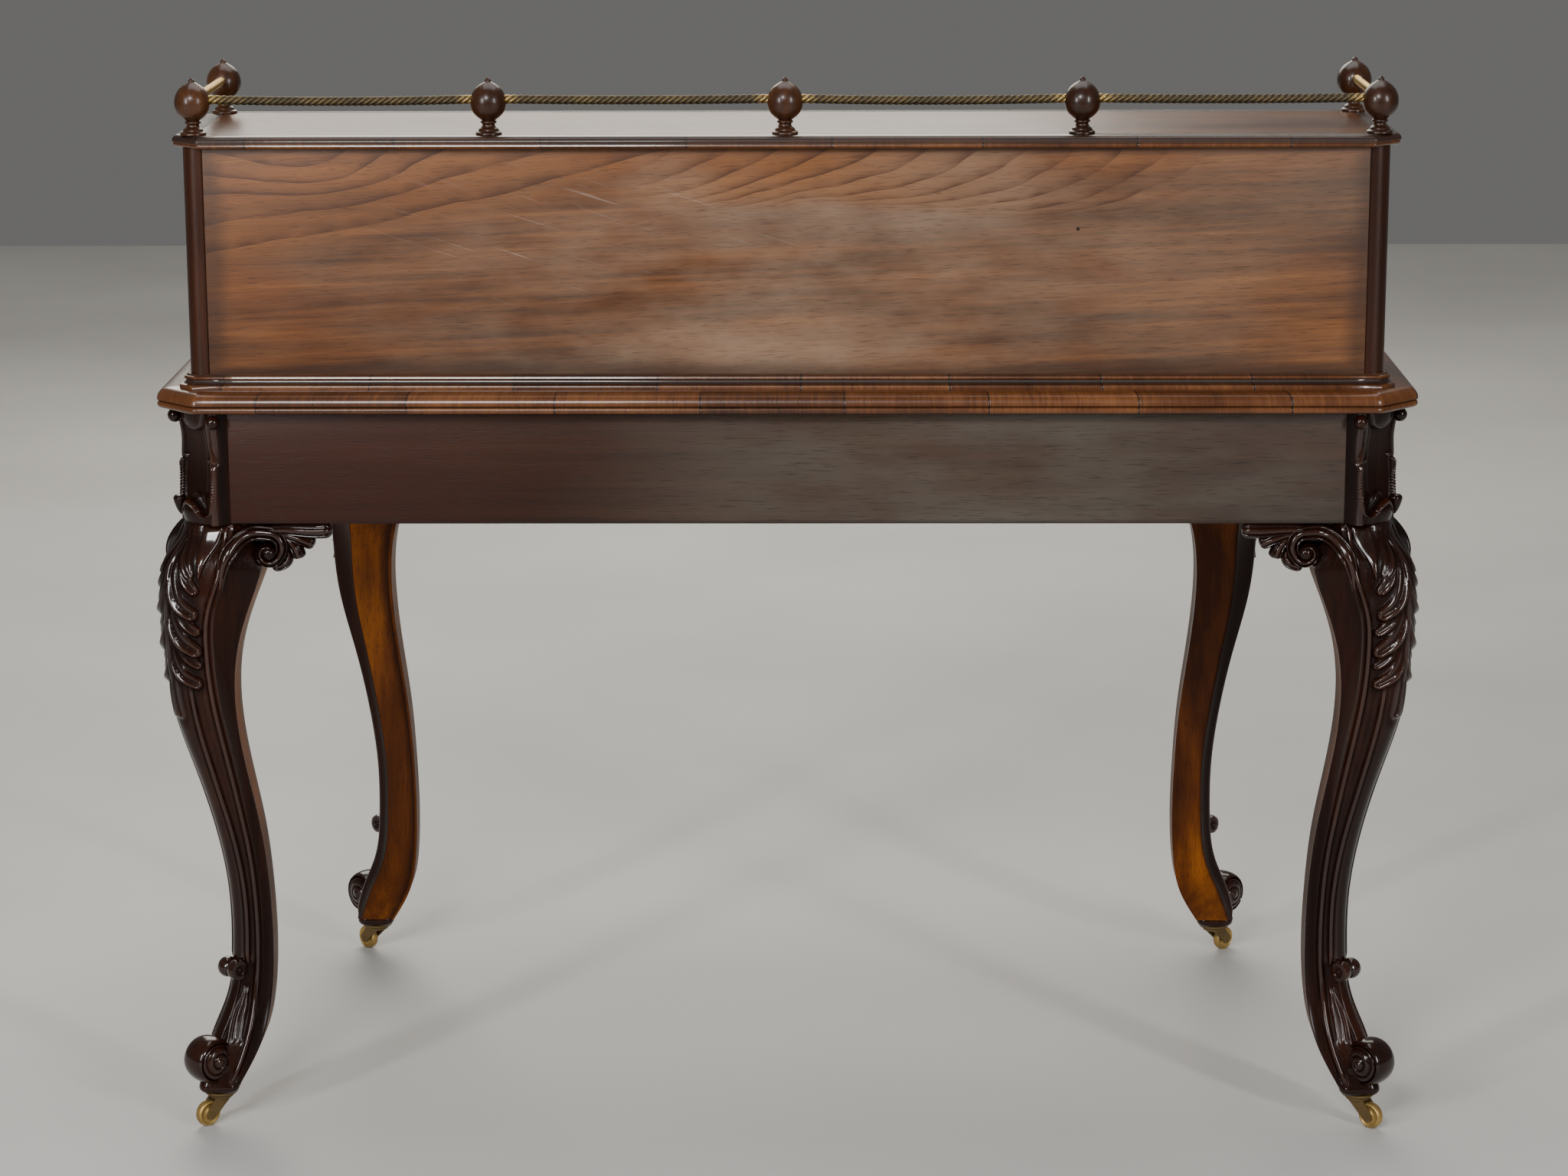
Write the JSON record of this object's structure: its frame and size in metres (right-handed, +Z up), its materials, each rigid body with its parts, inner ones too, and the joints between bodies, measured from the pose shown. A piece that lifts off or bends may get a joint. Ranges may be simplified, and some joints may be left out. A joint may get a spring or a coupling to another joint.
{
  "type": "demilune desk",
  "caption": "D-plan writing desk on carved cabriole legs with brass casters, a bow-fronted drawer, and a low upper case with small drawers, pigeonholes and a rope-twist gallery.",
  "frame": {"origin": "on the floor under the middle of the table top", "axes": "+Z up, +X along the width, the bowed front faces -Y and the straight back +Y"},
  "size_m": [1.219, 0.75, 1.048],
  "materials": {
    "carved_mahogany": "dark french polish",
    "case_walnut": "polished figured veneer",
    "frieze_veneer": "old polish with a bluish bloom",
    "crossgrain_moulding": "polished cross-grained moulding",
    "turned_walnut": "polished turned wood",
    "drawer_lining": "plain unpolished lining wood",
    "writing_leather": "worn tooled hide",
    "gallery_brass": "tarnished brass",
    "caster_brass": "worn brass",
    "knob_brass": "aged brass"
  },
  "bodies": {
    "desk": {"back_base_moulding": "crossgrain_moulding", "back_left_corner_block": "carved_mahogany", "back_left_knee_brackets": "carved_mahogany", "back_left_leg": "carved_mahogany", "back_rail": "frieze_veneer", "back_right_corner_block": "carved_mahogany", "back_right_knee_brackets": "carved_mahogany", "back_right_leg": "carved_mahogany", "caster_sockets": "caster_brass", "drawer_partitions": "case_walnut", "drawer_runners": "drawer_lining", "front_left_corner_block": "carved_mahogany", "front_left_leg": "carved_mahogany", "front_rail": "frieze_veneer", "front_right_corner_block": "carved_mahogany", "front_right_leg": "carved_mahogany", "gallery_back_rails": "gallery_brass", "gallery_finials": "turned_walnut", "gallery_side_rails": "gallery_brass", "left_base_moulding": "crossgrain_moulding", "left_side_rail": "frieze_veneer", "pigeonhole_dividers": "case_walnut", "right_base_moulding": "crossgrain_moulding", "right_side_rail": "frieze_veneer", "table_top": "case_walnut", "top_edge_moulding": "crossgrain_moulding", "upper_back_panel": "case_walnut", "upper_floor": "case_walnut", "upper_left_end": "case_walnut", "upper_left_stile": "case_walnut", "upper_right_end": "case_walnut", "upper_right_stile": "case_walnut", "upper_shelf": "case_walnut", "upper_top": "case_walnut", "writing_leather": "writing_leather"},
    "back_right_caster": {"back_right_caster_horn": "caster_brass", "back_right_caster_axle": "caster_brass"},
    "back_right_wheel": {"back_right_caster_wheel": "caster_brass"},
    "back_left_caster": {"back_left_caster_horn": "caster_brass", "back_left_caster_axle": "caster_brass"},
    "back_left_wheel": {"back_left_caster_wheel": "caster_brass"},
    "front_left_caster": {"front_left_caster_horn": "caster_brass", "front_left_caster_axle": "caster_brass"},
    "front_left_wheel": {"front_left_caster_wheel": "caster_brass"},
    "front_right_caster": {"front_right_caster_horn": "caster_brass", "front_right_caster_axle": "caster_brass"},
    "front_right_wheel": {"front_right_caster_wheel": "caster_brass"},
    "left_small_drawer": {"left_small_drawer_front": "case_walnut", "left_small_drawer_box": "drawer_lining", "left_small_drawer_knob": "knob_brass"},
    "centre_small_drawer": {"centre_small_drawer_front": "case_walnut", "centre_small_drawer_box": "drawer_lining", "centre_small_drawer_knob": "knob_brass"},
    "right_small_drawer": {"right_small_drawer_front": "case_walnut", "right_small_drawer_box": "drawer_lining", "right_small_drawer_knob": "knob_brass"},
    "frieze_drawer": {"frieze_drawer_front": "frieze_veneer", "frieze_drawer_box": "drawer_lining", "frieze_drawer_knobs": "knob_brass"}
  },
  "joints": [
    {"name": "back_right_swivel", "type": "hinge", "parent": "desk", "child": "back_right_caster", "pos_m": [0.571, 0.3365, 0.03], "axis": [0, 0, 1], "continuous": true},
    {"name": "back_right_roll", "type": "hinge", "parent": "back_right_caster", "child": "back_right_wheel", "pos_m": [0.58302, 0.34852, 0.013], "axis": [-0.7071, 0.7071, 0], "continuous": true},
    {"name": "back_left_swivel", "type": "hinge", "parent": "desk", "child": "back_left_caster", "pos_m": [-0.571, 0.3365, 0.03], "axis": [0, 0, 1], "continuous": true},
    {"name": "back_left_roll", "type": "hinge", "parent": "back_left_caster", "child": "back_left_wheel", "pos_m": [-0.58302, 0.34852, 0.013], "axis": [-0.7071, -0.7071, 0], "continuous": true},
    {"name": "front_left_swivel", "type": "hinge", "parent": "desk", "child": "front_left_caster", "pos_m": [-0.47677, -0.21142, 0.03], "axis": [0, 0, 1], "continuous": true},
    {"name": "front_left_roll", "type": "hinge", "parent": "front_left_caster", "child": "front_left_wheel", "pos_m": [-0.48879, -0.22344, 0.013], "axis": [0.7071, -0.7071, 0], "continuous": true},
    {"name": "front_right_swivel", "type": "hinge", "parent": "desk", "child": "front_right_caster", "pos_m": [0.47677, -0.21142, 0.03], "axis": [0, 0, 1], "continuous": true},
    {"name": "front_right_roll", "type": "hinge", "parent": "front_right_caster", "child": "front_right_wheel", "pos_m": [0.48879, -0.22344, 0.013], "axis": [0.7071, 0.7071, 0], "continuous": true},
    {"name": "left_small_drawer_slide", "type": "slide", "parent": "desk", "child": "left_small_drawer", "axis": [0, -1, 0], "range_m": [0, 0.13]},
    {"name": "centre_small_drawer_slide", "type": "slide", "parent": "desk", "child": "centre_small_drawer", "axis": [0, -1, 0], "range_m": [0, 0.13]},
    {"name": "right_small_drawer_slide", "type": "slide", "parent": "desk", "child": "right_small_drawer", "axis": [0, -1, 0], "range_m": [0, 0.13]},
    {"name": "frieze_drawer_slide", "type": "slide", "parent": "desk", "child": "frieze_drawer", "axis": [0, -1, 0], "range_m": [0, 0.24]}
  ]
}
